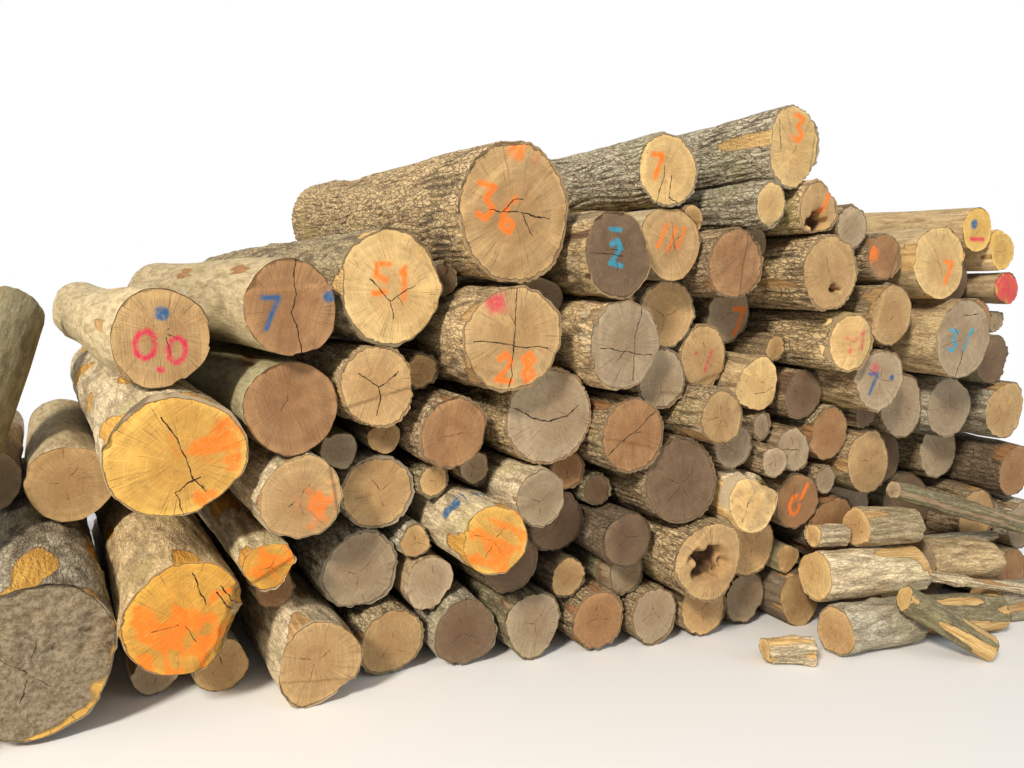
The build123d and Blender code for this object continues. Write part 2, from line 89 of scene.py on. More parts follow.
# A log's sawn wood, bark tone and kind, share of the bark torn off, number and reach of its straight checks,
# and how much wider and higher its front end is than round. In radii of the log:
# a mark is (paint, sign, middle across, middle up, size, stroke width), a cloud's last value is its raggedness,
# a split is a line of places on the face, a flat is (across, up, along, depth) of a plane that cuts the log,
# rot is the middle and size of a hollow. A band is (paint, metres from the front, half width) over the bark.
usualLog = dict(wood="tan", bark="brown", kind="furrowed", bare=0.1, rays=2, reach=0.4, oval=(1.0, 1.0), marks=[],
                splits=[], flats=[], bands=[], rot=None, mud=0.0, thickBark=0.0)
logs = {
    "lumpy_yellow_log": dict(wood="honey", bark="pale", kind="flaky", bare=0.35, rays=3, reach=0.5,
        oval=(1.05, 0.96), thickBark=0.06, marks=[("orange", "cloud", 0.6, 0.1, 0.4, 0.13),
        ("orange", "cloud", 0.75, 0.42, 0.25, 0.1), ("orange", "cloud", 0.2, 0.12, 0.2, 0.1),
        ("orange", "cloud", 0.5, -0.62, 0.12, 0.1)],
        splits=[[(-0.25, 0.55), (0.02, 0.15), (0.2, -0.3), (0.42, -0.55)], [(0.0, -0.55), (0.32, -0.32)],
        [(0.0, -0.55), (0.12, -0.9)]]),
    "ring_blob_log": dict(bark="olive", kind="smooth", rays=5, marks=[("blue", "dot", -0.02, 0.5, 0.4, 0.13),
        ("red", "ring", -0.3, -0.12, 0.46, 0.05), ("red", "ring", 0.28, -0.2, 0.42, 0.05),
        ("red", "dot", 0.0, -0.6, 0.3, 0.06)]),
    "blue_stroke_log": dict(wood="brown", bark="olive", kind="smooth", bare=0.05,
        marks=[("blue", "7", -0.42, -0.1, 0.5, 0.045), ("blue", "dot", 0.72, 0.3, 0.3, 0.11)],
        splits=[[(0.05, 0.95), (0.0, 0.5), (0.06, 0.1), (-0.02, -0.1), (0.14, -0.4), (0.3, -0.93)]]),
    "pale_cream_log": dict(wood="cream", bark="olive", kind="scaly", rays=3, reach=0.3, oval=(0.98, 1.02),
        marks=[("orange", "5", -0.2, 0.12, 0.42, 0.045), ("orange", "1", 0.2, 0.08, 0.42, 0.045)],
        splits=[[(-0.4, 0.1), (-0.2, -0.05), (0.0, -0.22)], [(0.0, -0.22), (0.4, 0.08)],
        [(0.0, -0.22), (0.04, -0.5)]]),
    "big_tan_log": dict(bark="golden", bare=0.06, rays=9, reach=0.5, oval=(0.98, 1.02),
        marks=[("orange", "3", -0.5, 0.1, 0.42, 0.045), ("orange", "6", -0.12, -0.05, 0.42, 0.045),
        ("orange", "cloud", 0.0, 0.98, 0.3, 0.06)], splits=[[(-0.2, 0.0), (-0.1, 0.16), (0.1, 0.2)],
        [(-0.45, -0.03), (0.1, 0.0), (0.6, -0.02)], [(0.1, 0.0), (0.35, -0.3), (0.25, -0.45), (0.3, -0.7)]]),
    "fibrous_log": dict(wood="brown", bark="mossy", kind="smooth", reach=0.2),
    "star_check_log": dict(bark="golden", reach=0.3, splits=[[(-0.5, 0.3), (-0.2, 0.15), (0.0, 0.0)],
        [(0.0, 0.0), (0.45, 0.35)], [(0.0, 0.0), (0.08, -0.3), (0.0, -0.62)]]),
    "sprayed_checked_log": dict(bark="golden", kind="scaly", bare=0.14, rays=9, reach=0.5,
        marks=[("orange", "2", -0.1, -0.5, 0.4, 0.05), ("orange", "8", 0.35, -0.48, 0.4, 0.05),
        ("red", "cloud", -0.4, 0.62, 0.3, 0.03)], splits=[[(0.02, 0.85), (0.0, 0.2), (0.03, -0.85)],
        [(-0.75, -0.08), (0.0, -0.1), (0.7, -0.12)]]),
    "grey_arc_log": dict(wood="grey", bark="golden", bare=0.15, reach=0.3,
        splits=[[(-0.75, 0.15), (-0.4, -0.05), (0.0, -0.1), (0.35, 0.0), (0.6, 0.22)]]),
    "diagonal_crack_log": dict(wood="brown", rays=1, reach=0.3,
        splits=[[(-0.65, -0.5), (-0.2, -0.1), (0.1, 0.1), (0.6, 0.62)]]),
    "small_brown_log": dict(wood="brown", reach=0.5),
    "pale_bark_log": dict(bark="pale", kind="flaky", bare=0.2, rays=3, reach=0.5,
        marks=[("orange", "cloud", 0.35, -0.2, 0.5, 0.1)]),
    "small_orange_log": dict(wood="amber", bark="pale", kind="flaky", bare=0.3, rays=3, oval=(1.06, 0.94),
        marks=[("orange", "cloud", 0.0, 0.15, 0.9, 0.3)]),
    "orange_butt_log": dict(wood="amber", bark="golden", kind="flaky", bare=0.3, rays=4, reach=0.5,
        oval=(0.97, 1.03), marks=[("orange", "cloud", -0.45, -0.15, 0.5, 0.2),
        ("orange", "cloud", 0.1, -0.3, 0.6, 0.3), ("orange", "cloud", 0.6, -0.35, 0.25, 0.15)],
        splits=[[(0.05, 0.75), (0.25, 0.2)], [(0.45, 0.5), (0.8, 0.05)], [(0.4, 0.4), (0.7, 0.0)]],
        flats=[(0.78, -0.2, -0.59, 0.42)]),
    "weathered_butt_log": dict(wood="honey", bark="grey", kind="scaly", bare=0.3, rays=4, mud=1.0,
        marks=[("orange", "cloud", -0.75, -0.1, 0.25, 0.02)]),
    "sprayed_bark_log": dict(wood="honey", bark="pale", kind="flaky", bare=0.3, rays=4, reach=0.5,
        marks=[("orange", "cloud", 0.1, -0.3, 1.1, 0.35)], bands=[("blue", 0.3, 0.05), ("blue", 0.55, 0.035)]),
    "small_weathered_log": dict(wood="grey", bark="pale", kind="flaky", bare=0.4, rays=3, reach=0.7),
    # the next three logs lie in shade: their dark wood, and the first two's dark bark, are painted shade
    "dark_log_a": dict(wood="dark", bark="dark", reach=0.5),
    "dark_log_b": dict(wood="dark", bark="dark", rays=3, reach=0.5),
    "big_dark_log": dict(wood="dark", rays=4, reach=0.5),
    "pale_wedge_log": dict(wood="cream", bark="pale", kind="flaky", bare=0.4, reach=0.6,
        flats=[(-0.5, 0.25, -0.83, -0.1), (0.1, 0.75, -0.65, 0.25)], mud=0.2),
    "rotten_heart_log": dict(bark="golden", bare=0.2, rays=3, reach=0.5, rot=(0.0, -0.05, 0.5)),
    "low_tan_log": dict(bark="pale", kind="flaky", bare=0.2, rays=3, reach=0.5),
    "cyan_mark_log": dict(wood="dark", bark="golden", kind="scaly", rays=3, reach=0.5, mud=0.15,
        marks=[("cyan", "2", -0.05, 0.0, 0.45, 0.05), ("cyan", "bar", -0.1, 0.5, 0.35, 0.04)],
        splits=[[(-0.75, -0.1), (-0.3, -0.02), (0.15, -0.06)]]),
    "zigzag_mark_log": dict(bark="olive", kind="smooth", bare=0.08, rays=6, reach=0.5,
        marks=[("orange", "slash", -0.3, 0.12, 0.45, 0.045), ("orange", "slash", 0.0, 0.08, 0.5, 0.045),
        ("orange", "slash", 0.3, 0.14, 0.42, 0.045)], splits=[[(0.02, 0.2), (0.1, -0.15)]]),
    "short_furrowed_log": dict(wood="cream", bark="grey", bare=0.08, reach=0.3,
        marks=[("orange", "7", -0.35, 0.05, 0.5, 0.065)], splits=[[(-0.12, -0.1), (-0.2, -0.5), (-0.3, -0.95)],
        [(0.1, -0.1), (0.12, -0.7)], [(0.12, -0.7), (0.45, -0.78)], [(-0.1, 0.1), (-0.14, -0.2)]]),
    "cross_checked_log": dict(wood="grey", bark="golden", kind="scaly", bare=0.2, rays=3, reach=0.5,
        splits=[[(0.3, 0.95), (0.26, 0.2), (0.3, -0.7)], [(-0.6, -0.12), (0.2, -0.15), (0.75, -0.2)]],
        flats=[(0.9, 0.43, 0.0, 0.87), (0.94, -0.34, 0.0, 0.88), (-0.2, 0.98, 0.0, 0.9)]),
    "fibrous_grey_log": dict(wood="brown", mud=0.15),
    "clean_small_log": dict(wood="cream", bark="grey", bare=0.05, reach=0.3),
    "top_log": dict(wood="cream", bark="grey", bare=0.06, reach=0.2, oval=(0.95, 1.04),
        marks=[("orange", "3", 0.1, 0.45, 0.5, 0.06)], splits=[[(-0.6, 0.55), (-0.5, 0.2), (-0.42, -0.1)]]),
    "hollow_log": dict(bark="golden", reach=0.3, rot=(0.05, -0.42, 0.46),
        marks=[("orange", "slash", 0.35, 0.25, 0.6, 0.08)]),
    "grey_side_log": dict(wood="grey"),
    "knot_hole_log": dict(bark="golden", bare=0.08, rot=(0.22, -0.38, 0.14)),
    "edge_mark_log": dict(wood="grey", kind="scaly", rays=3, reach=0.5,
        marks=[("orange", "7", 0.45, -0.2, 0.7, 0.08)]),
    "pink_mark_log": dict(bark="golden", kind="scaly", rays=3, reach=0.5,
        marks=[("red", "slash", 0.2, -0.1, 0.5, 0.04), ("red", "dot", -0.3, 0.1, 0.3, 0.05)]),
    "curled_bark_log": dict(wood="cream", bark="golden", kind="flaky", bare=0.2, reach=0.3,
        splits=[[(-0.1, -0.35), (0.3, -0.3), (0.7, -0.1)]]),
    "behind_grey_log": dict(wood="grey", rays=3),
    "brown_star_log": dict(bare=0.15, rays=5, reach=0.7),
    "grey_radial_log": dict(wood="grey", rays=7, reach=0.7),
    "grey_wedge_log": dict(wood="grey", bare=0.2, rays=3, reach=0.5, splits=[[(-0.6, 0.05), (0.3, 0.0)]],
        flats=[(0.85, 0.52, 0.0, 0.8), (-0.85, 0.52, 0.0, 0.86)]),
    "ring_marked_log": dict(wood="brown", kind="scaly", rays=3, reach=0.5,
        marks=[("orange", "ring", -0.1, -0.1, 0.55, 0.06), ("orange", "slash", 0.25, 0.35, 0.4, 0.06)]),
    "small_grey_log": dict(wood="grey", rays=4, reach=0.7),
    "bevelled_log": dict(wood="cream", bark="golden", reach=0.2, marks=[("red", "1", 0.45, 0.1, 0.5, 0.035),
        ("red", "7", 0.1, -0.1, 0.4, 0.035)], flats=[(-0.52, 0.08, -0.85, -0.22)]),
    "half_shade_log": dict(kind="scaly", rays=1, reach=0.2),
    "blue_edge_log": dict(wood="grey", bark="golden", kind="scaly", rays=4, reach=0.6,
        marks=[("blue", "7", -0.3, -0.1, 0.5, 0.055), ("blue", "dot", 0.45, 0.1, 0.3, 0.08),
        ("red", "cloud", -0.3, 0.35, 0.15, 0.0)]),
    "flared_log": dict(wood="grey", bark="golden", kind="flaky", bare=0.2, rays=6, reach=0.6, oval=(1.02, 0.98),
        marks=[("cyan", "3", -0.35, -0.05, 0.42, 0.04), ("cyan", "slash", 0.15, 0.0, 0.42, 0.04)],
        splits=[[(-0.1, 0.5), (0.4, 0.62)], [(0.05, -0.25), (0.0, -0.6), (-0.12, -0.95)]],
        flats=[(0.95, -0.3, 0.0, 0.9)]),
    "brown_edge_log": dict(wood="brown", marks=[("orange", "cloud", -0.75, 0.0, 0.5, 0.1)]),
    "slabbed_log": dict(wood="cream", bark="golden", kind="smooth", bare=0.3, reach=0.3,
        marks=[("orange", "slash", 0.35, -0.2, 0.4, 0.06), ("orange", "bar", 0.3, 0.05, 0.3, 0.05)],
        flats=[(-1.0, 0.0, 0.0, 0.86), (-0.5, 0.87, 0.0, 0.88), (0.5, 0.87, 0.0, 0.9), (1.0, 0.0, 0.0, 0.88),
        (0.5, -0.87, 0.0, 0.88), (-0.5, -0.87, 0.0, 0.87)]),
    "ochre_blob_log": dict(wood="yellow", bark="golden", kind="smooth", bare=0.15,
        marks=[("blue", "dot", -0.2, 0.2, 0.4, 0.2), ("red", "bar", 0.05, -0.4, 0.9, 0.08)]),
    "yellow_end_log": dict(wood="yellow", bark="golden", kind="smooth", bare=0.15),
    "red_end_log": dict(wood="orange", kind="smooth", marks=[("red", "cloud", 0.0, 0.0, 2.2, 0.4)]),
    "leaning_log": dict(bark="mossy", kind="smooth", bare=0.12, rays=3, reach=0.5),
}
hiddenLog = dict(usualLog, bare=0.12, rays=3, reach=0.5)  # a log of the pieces that hold many
hiddenWoods = ["tan", "brown", "grey", "tan", "dark", "grey"]
hiddenBarks = ["brown", "grey", "olive", "brown", "dark", "mossy"]
hiddenKinds = ["furrowed", "scaly", "smooth", "furrowed"]
jumbleWoods = ["cream", "tan", "cream", "grey"]
jumbleBarks = ["pale", "golden", "mossy", "olive", "grey"]

shaping = {
    "mergeWithin": 0.00005,  # metres
    "flatWithin": math.radians(0.08),
    "smoothWithin": math.radians(50),
    "rimInset": 0.012,  # first inset of an end face, metres
    "ringInset": 0.28,  # later insets, in radii
    "bigRadius": 0.235,  # logs thicker than this get the finest mesh
    "crackBits": 5,  # how many straight bits of cracks the shader draws on one face
    "furrowSpacing": 0.050,
    "furrowDepth": 0.013,
    "scaleDepth": 0.010,
    "plateDepth": 0.008,
    "smoothDepth": 0.006,
    "barkThickness": 0.016,
    "tornReach": 0.09,  # how far in from an end bark has come off most
    "knotHeight": 0.020,
    "knotWidth": 0.055,
    "lumpHeight": 0.010,
    "fellingStep": 0.012,
    "sawRoughness": 0.0022,
    "rimRaggedness": 0.004,
    "crumbHeight": 0.010,
    "hollowDepth": 0.17,
}


def waves(seed, theta, along, around, lengthwise, count=7):
    # smooth noise over a log's skin that closes round it; around and lengthwise are its finest waves
    chance = np.random.default_rng(seed)
    total = np.zeros_like(theta)
    for _ in range(count):
        turns, slope = chance.integers(0, around + 1), chance.uniform(-lengthwise, lengthwise)
        total += np.cos(turns * theta + slope * along + chance.uniform(0, 6.28))
    return total * math.sqrt(2.0 / count)


def smoothStep(low, high, value):
    share = np.clip((value - low) / (high - low), 0, 1)
    return share * share * (3 - 2 * share)


def barkHeight(kind, seed, theta, along, radius):
    # height of the bark's skin over its mean, in metres, and the same as a share for the shader
    warp = waves(seed, theta, along, 4, 5.0)
    if kind == "furrowed":
        ridges = max(6, round(math.pi * radius / shaping["furrowSpacing"]))
        ridge = np.abs(np.sin(ridges * theta + 1.3 * warp + 0.6 * waves(seed + 1, theta, along, 9, 14.0)))
        share = ridge ** 0.7 + 0.22 * waves(seed + 2, theta, along, 14, 26.0) - 0.62
        return shaping["furrowDepth"] * share, share
    if kind == "scaly":
        share = 0.45 * waves(seed + 2, theta, along, 22, 30.0, 12)
        share = share + 0.25 * waves(seed + 3, theta, along, 7, 9.0)
        return shaping["scaleDepth"] * share, share
    if kind == "flaky":
        plates = waves(seed + 2, theta, along, 12, 16.0, 9)
        share = np.tanh(3.0 * plates) * 0.45 + 0.2 * waves(seed + 3, theta, along, 20, 28.0, 9)
        return shaping["plateDepth"] * share, share
    share = 0.35 * waves(seed + 2, theta, along, 5, 6.0) + 0.22 * waves(seed + 3, theta, along, 18, 8.0, 9)
    return shaping["smoothDepth"] * share, share


def strokeDistance(across, up, line):
    # distance of points to a bent line
    nearest = np.full(across.shape, 9.0)
    for (x0, z0), (x1, z1) in zip(line, line[1:]):
        dx, dz = x1 - x0, z1 - z0
        share = np.clip(((across - x0) * dx + (up - z0) * dz) / (dx * dx + dz * dz + 1e-9), 0, 1)
        nearest = np.minimum(nearest, np.hypot(across - x0 - share * dx, up - z0 - share * dz))
    return nearest


def mottle(seed, across, up, finest):
    # smooth noise on a face, with its finest waves in metres
    chance = np.random.default_rng(seed)
    total = np.zeros_like(across)
    for _ in range(9):
        turn, wave = chance.uniform(0, 6.28), finest * chance.uniform(1.0, 3.5)
        chord = across * math.cos(turn) + up * math.sin(turn)
        total += np.cos(6.28 / wave * chord + chance.uniform(0, 6.28))
    return total * 0.45


def markDistances(marks, across, up, radius, seed):
    # distance to the edge of the sprayed strokes and clouds of each paint, in metres
    found = np.ones((len(across), len(paints)))
    for number, (paint, sign, x, z, size, width) in enumerate(marks):
        channel = paints.index(paint)
        if sign == "cloud":
            blots = mottle(seed + number, across, up, 0.06)
            distance = np.hypot(across - x * radius, up - z * radius) - size * radius / 2
            distance = distance - width * radius * blots
            found[:, channel] = np.minimum(found[:, channel], np.maximum(0.22 * distance, -0.004))
            continue
        wide, high = size * 0.8, size * 1.2
        for line in strokes[sign]:
            placed = [((x + (px - 0.5) * wide) * radius, (z + (pz - 0.5) * high) * radius) for px, pz in line]
            distance = strokeDistance(across, up, placed) - width * radius
            found[:, channel] = np.minimum(found[:, channel], distance)
    return found


def checkSegments(seed, rays, reach, radius):
    # straight radial checks from near the pith; the shader makes them wander
    chance = np.random.default_rng(seed)
    start = chance.uniform(0, 6.28)
    bits = []
    for ray in range(rays):
        angle = start + ray * 2 * math.pi / max(rays, 1) + chance.uniform(-0.35, 0.35)
        near = radius * chance.uniform(0.0, 0.15) * (rays > 2)
        far = radius * reach * chance.uniform(0.55, 1.1)
        outward = (math.cos(angle), math.sin(angle))
        bits.append((near * outward[0], near * outward[1], far * outward[0], far * outward[1],
                     0.001 + 0.003 * radius))
    return bits


def addSegments(kept, rows, bits):
    # fills the numbered places of one log with straight bits of its cracks, the rest lie far off
    for place in range(shaping["crackBits"]):
        x0, z0, x1, z1, width = bits[place] if place < len(bits) else (9.0, 9.0, 9.1, 9.0, 0.0)
        kept["splitStart" + str(place)][rows] = (x0, z0, 0.0, width)
        kept["splitRun" + str(place)][rows] = (x1 - x0, z1 - z0, 0.0)


def logParts(mesh):
    # numbers the loose logs of a mesh and gives each point's log
    ends = np.empty(len(mesh.edges) * 2, int)
    mesh.edges.foreach_get("vertices", ends)
    ends = ends.reshape(-1, 2)
    label = np.arange(len(mesh.vertices))
    while True:
        low = np.minimum(label[ends[:, 0]], label[ends[:, 1]])
        before = label.copy()
        np.minimum.at(label, ends[:, 0], low)
        np.minimum.at(label, ends[:, 1], low)
        if (label == before).all():
            break
    return np.unique(label, return_inverse=True)[1]


def points(mesh):
    values = np.empty(len(mesh.vertices) * 3)
    mesh.vertices.foreach_get("co", values)
    return values.reshape(-1, 3)


def logAxis(places):
    # front middle, direction, across, up, length and radius of one log
    nearEnd = 0.08  # share of the length whose points give the middle of an end
    middle = places.mean(axis=0)
    spread = np.linalg.eigh(np.cov((places - middle).T))[1][:, 2]
    if spread[1] < -0.3 or (abs(spread[1]) <= 0.3 and spread[0] < 0):
        spread = -spread
    along = (places - middle) @ spread
    length = along.max() - along.min()
    atFront = along < along.min() + nearEnd * length
    front = places[atFront].mean(axis=0)
    back = places[along > along.max() - nearEnd * length].mean(axis=0)
    axis = (back - front) / np.linalg.norm(back - front)
    across = np.array([axis[1], -axis[0], 0.0])
    across /= np.linalg.norm(across)
    up = np.cross(across, axis)
    off = places[atFront] - front
    radius = np.hypot(off @ across, off @ up).max()
    return front, axis, across, up, length, radius


def addValues(mesh, name, kind, values):
    layer = mesh.attributes.new(name, kind, "POINT")
    key = {"FLOAT": "value", "FLOAT_VECTOR": "vector", "FLOAT_COLOR": "color"}[kind]
    layer.data.foreach_set(key, np.ascontiguousarray(values, dtype=np.float32).ravel())


def dressNode(name, skins):
    # makes the seen logs of one node from a copy of its solids
    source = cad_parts[name]
    mesh = source.data.copy()
    piece = bpy.data.objects.new(name + "_bark", mesh)
    scene.collection.objects.link(piece)
    bpy.ops.object.select_all(action="DESELECT")
    bpy.context.view_layer.objects.active = piece
    piece.select_set(True)
    mesh.materials.clear()
    for skin in skins:
        mesh.materials.append(skin)
    tools = bpy.context.tool_settings
    tools.mesh_select_mode = (True, False, False)
    bpy.ops.object.mode_set(mode="EDIT")
    bpy.ops.mesh.select_all(action="SELECT")
    bpy.ops.mesh.remove_doubles(threshold=shaping["mergeWithin"])
    bpy.ops.mesh.dissolve_limited(angle_limit=shaping["flatWithin"])
    bpy.ops.object.mode_set(mode="OBJECT")
    places = points(mesh)
    owner = logParts(mesh)
    axes = [logAxis(places[owner == number]) for number in range(owner.max() + 1)]
    directions = np.array([axis[1] for axis in axes])
    radii = np.array([axis[5] for axis in axes])
    addValues(mesh, "logNumber", "FLOAT", owner)
    isEnd = np.zeros(len(mesh.polygons), int)
    for face in mesh.polygons:
        facing = abs(np.dot(face.normal, directions[owner[face.vertices[0]]]))
        isEnd[face.index] = facing > 0.8
    mesh.polygons.foreach_set("material_index", isEnd)
    # the rim edges keep their edge, the long ones are cut across
    rim = set()
    for face in mesh.polygons:
        if isEnd[face.index]:
            rim.update(face.edge_keys)
    crease = mesh.attributes.new("crease_edge", "FLOAT", "EDGE")
    sharp = np.array([tuple(sorted(edge.vertices)) in rim for edge in mesh.edges], float)
    crease.data.foreach_set("value", sharp)
    tools.mesh_select_mode = (False, True, False)
    mesh.polygons.foreach_set("select", np.zeros(len(mesh.polygons), bool))
    mesh.vertices.foreach_set("select", np.zeros(len(mesh.vertices), bool))
    ringEdges = [edge for edge in mesh.edges if not sharp[edge.index]]
    long = np.zeros(len(mesh.edges), bool)
    for edge in ringEdges:
        one, two = edge.vertices
        run = places[two] - places[one]
        long[edge.index] = abs(run @ directions[owner[one]]) > 0.8 * np.linalg.norm(run)
    mesh.edges.foreach_set("select", long)
    single = len(axes) == 1 and name in logs
    fine = single and radii[0] > shaping["bigRadius"]
    bpy.ops.object.mode_set(mode="EDIT")
    bpy.ops.mesh.subdivide(number_cuts=1 if single else 3)
    bpy.ops.object.mode_set(mode="OBJECT")
    # end faces get rings for the sawn face
    tools.mesh_select_mode = (False, False, True)
    least = radii.min()
    insets = [shaping["rimInset"]] + ([shaping["ringInset"] * least] * 2 if single else [])
    mesh.edges.foreach_set("select", np.zeros(len(mesh.edges), bool))
    mesh.vertices.foreach_set("select", np.zeros(len(mesh.vertices), bool))
    mesh.polygons.foreach_set("select", [face.material_index == 1 for face in mesh.polygons])
    bpy.ops.object.mode_set(mode="EDIT")
    for number, inset in enumerate(insets):
        bpy.ops.mesh.inset(thickness=inset, use_even_offset=True)
        if number == 0 and single:
            bpy.ops.object.mode_set(mode="OBJECT")
            halfway = axes[0][0][1] + 0.5 * axes[0][4]  # only the front end gets more rings
            chosen = [face.select and face.center.y < halfway for face in mesh.polygons]
            mesh.edges.foreach_set("select", np.zeros(len(mesh.edges), bool))
            mesh.vertices.foreach_set("select", np.zeros(len(mesh.vertices), bool))
            mesh.polygons.foreach_set("select", chosen)
            bpy.ops.object.mode_set(mode="EDIT")
    bpy.ops.object.mode_set(mode="OBJECT")
    smoothing = piece.modifiers.new("round", "SUBSURF")
    smoothing.levels = 3 if fine else 2
    smoothing.render_levels = smoothing.levels
    bpy.ops.object.modifier_apply(modifier="round")
    mesh = piece.data
    shapeLogs(mesh, name, axes)
    mesh.calc_loop_triangles()
    triangles[name] = len(mesh.loop_triangles)
    mesh.polygons.foreach_set("use_smooth", np.ones(len(mesh.polygons), bool))
    bpy.ops.object.shade_smooth_by_angle(angle=shaping["smoothWithin"])
    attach(piece, "root")
    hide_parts(name)
    return piece


def logStyle(name, seed):
    # the look of a named log, or one picked by the seed
    if name in logs:
        return dict(usualLog, **logs[name])
    if name in ("cross_lying_billets", "thin_poles"):
        return dict(hiddenLog, wood=jumbleWoods[seed % 4], bark=jumbleBarks[(seed // 5) % 5], kind="flaky",
                    bare=0.45)
    return dict(hiddenLog, wood=hiddenWoods[seed % 6], bark=hiddenBarks[(seed // 3) % 6],
                kind=hiddenKinds[(seed // 7) % 4])


def shapeLogs(mesh, name, axes):
    # gives each log its bark's relief and its sawn ends, and keeps what the shader reads at each point
    places = points(mesh)
    count = len(places)
    owner = np.empty(count)
    mesh.attributes["logNumber"].data.foreach_get("value", owner)
    owner = np.rint(owner).astype(int)
    onEnd, onSide, cut = np.zeros(count, bool), np.zeros(count, bool), np.zeros(count, bool)
    for face in mesh.polygons:
        (onEnd if face.material_index == 1 else onSide)[list(face.vertices)] = True
    names = ("grain", "ringPlace", "polar", "skin", "rimAndPith", "woodTone", "barkTone", "finish", "facePlace")
    kept = {key: np.zeros((count, 3)) for key in names}
    for place in range(shaping["crackBits"]):
        kept["splitStart" + str(place)] = np.zeros((count, 4))
        kept["splitRun" + str(place)] = np.zeros((count, 3))
    marks = np.ones((count, len(paints)))
    for number, (front, axis, across, up, length, radius) in enumerate(axes):
        mine = owner == number
        seed = (sum(map(ord, name)) * 7 + number * 31) % 9973
        chance = np.random.default_rng(seed)
        style = logStyle(name, seed)
        away = places[mine] - front
        along, a, u = away @ axis, away @ across, away @ up
        squash = style["oval"]
        nearFront = 1 - smoothStep(0.3, 1.2, along)
        a *= 1 + (squash[0] - 1) * nearFront
        u *= 1 + (squash[1] - 1) * nearFront
        theta, far = np.arctan2(u, a), np.hypot(a, u)
        end, side = onEnd[mine], onSide[mine]
        atFront = along < length / 2
        # the outline at each angle, from the points of the rim
        edgeFar = np.empty(len(far))
        for half in (atFront, ~atFront):
            rimPoints = end & side & half
            order = np.argsort(theta[rimPoints])
            rimTheta, rimFar = theta[rimPoints][order], far[rimPoints][order]
            edgeFar[half] = np.interp(theta[half], rimTheta, rimFar, period=2 * math.pi)
        height, share = barkHeight(style["kind"], seed, theta, along, radius)
        toEnd = np.minimum(along, length - along)
        loose = (0.55 + 1.2 * style["bare"]) * np.exp(-toEnd / shaping["tornReach"])
        loose = 2.2 * style["bare"] - 1.9 + loose
        torn = smoothStep(0.0, 0.35, waves(seed + 5, theta, along, 6, 7.0) + loose)
        height = height * (1 - torn) - shaping["barkThickness"] * 0.7 * torn
        for _ in range(chance.integers(0, 4)):
            knotTheta, knotAlong = chance.uniform(-3.1, 3.1), length * chance.uniform(0.12, 0.93)
            turned = np.abs(np.mod(theta - knotTheta + math.pi, 2 * math.pi) - math.pi)
            reach = np.hypot(turned * radius, along - knotAlong) / shaping["knotWidth"]
            height += shaping["knotHeight"] * np.exp(-reach * reach)
        lumps = waves(seed + 9, theta, along, 3, 2.5)
        height += (shaping["lumpHeight"] * lumps - 0.006) * min(1.0, radius / 0.15)
        fade = np.where(end, np.clip(far / edgeFar, 0, 1) ** 6, 1.0)
        scale = 1 + height * fade / np.maximum(edgeFar, 0.02)
        a, u = a * scale, u * scale
        # sawn faces: a felling step, saw roughness, a hollow heart, and a ragged rim
        inward = np.where(atFront, 1.0, -1.0)
        turn = chance.uniform(0, 6.28)
        chord = (a * math.cos(turn) + u * math.sin(turn)) / radius
        step = shaping["fellingStep"] * smoothStep(-0.03, 0.03, chord - chance.uniform(0.2, 0.8))
        mud = style["mud"]
        rough = shaping["sawRoughness"] * mottle(seed + 11, a, u, 0.09)
        crumbly = mud * smoothStep(-0.15, 0.15, u / radius + 0.12 * mottle(seed + 18, a, u, 0.15))
        rough += shaping["crumbHeight"] * crumbly * (mottle(seed + 14, a, u, 0.055) + 1.0)
        ragged = shaping["rimRaggedness"] * (1 + waves(seed + 15, theta, along * 0, 24, 0.1, 12))
        push = np.where(end & ~side, step + rough, ragged)
        push = np.where(end, push, 0.0)
        if style["rot"]:
            rotA, rotU, rotSize = style["rot"]
            rotFar = np.hypot((a / radius - rotA) * 0.8, u / radius - rotU)
            rotFar = rotFar + 0.06 * mottle(seed + 12, a, u, 0.06)
            cavity = 1 - smoothStep(rotSize * 0.5, rotSize * 0.95, rotFar)
            cavity *= shaping["hollowDepth"] + 0.03 * mottle(seed + 16, a, u, 0.035)
            push += np.where(end & ~side & atFront, cavity, 0)
        along = along + inward * push
        edge = np.where(end, edgeFar - far, 0.0)
        sawn = np.zeros(len(a), bool)
        # hewn and sawn flats
        for flatA, flatU, flatAlong, depth in style["flats"]:
            fadeOut = smoothStep(0.8, 1.5, along) if flatAlong == 0 else 0.0
            over = flatA * a + flatU * u + flatAlong * along - (depth + 0.25 * fadeOut) * radius
            over = np.maximum(over + 0.004 * mottle(seed + 17, a + along, u, 0.07) * (over > 0), 0)
            a, u, along = a - over * flatA, u - over * flatU, along - over * flatAlong
            if flatAlong:
                sawn |= over > 0.001
                edge = np.where(sawn & ~end, over * 1.3, edge)
            else:
                torn = np.maximum(torn, smoothStep(0.0, 0.006, over))
        places[mine] = front + np.outer(a, across) + np.outer(u, up) + np.outer(along, axis)
        places[mine, 2] = np.maximum(places[mine, 2], 0.0)
        cut[np.flatnonzero(mine)[sawn | end]] = True
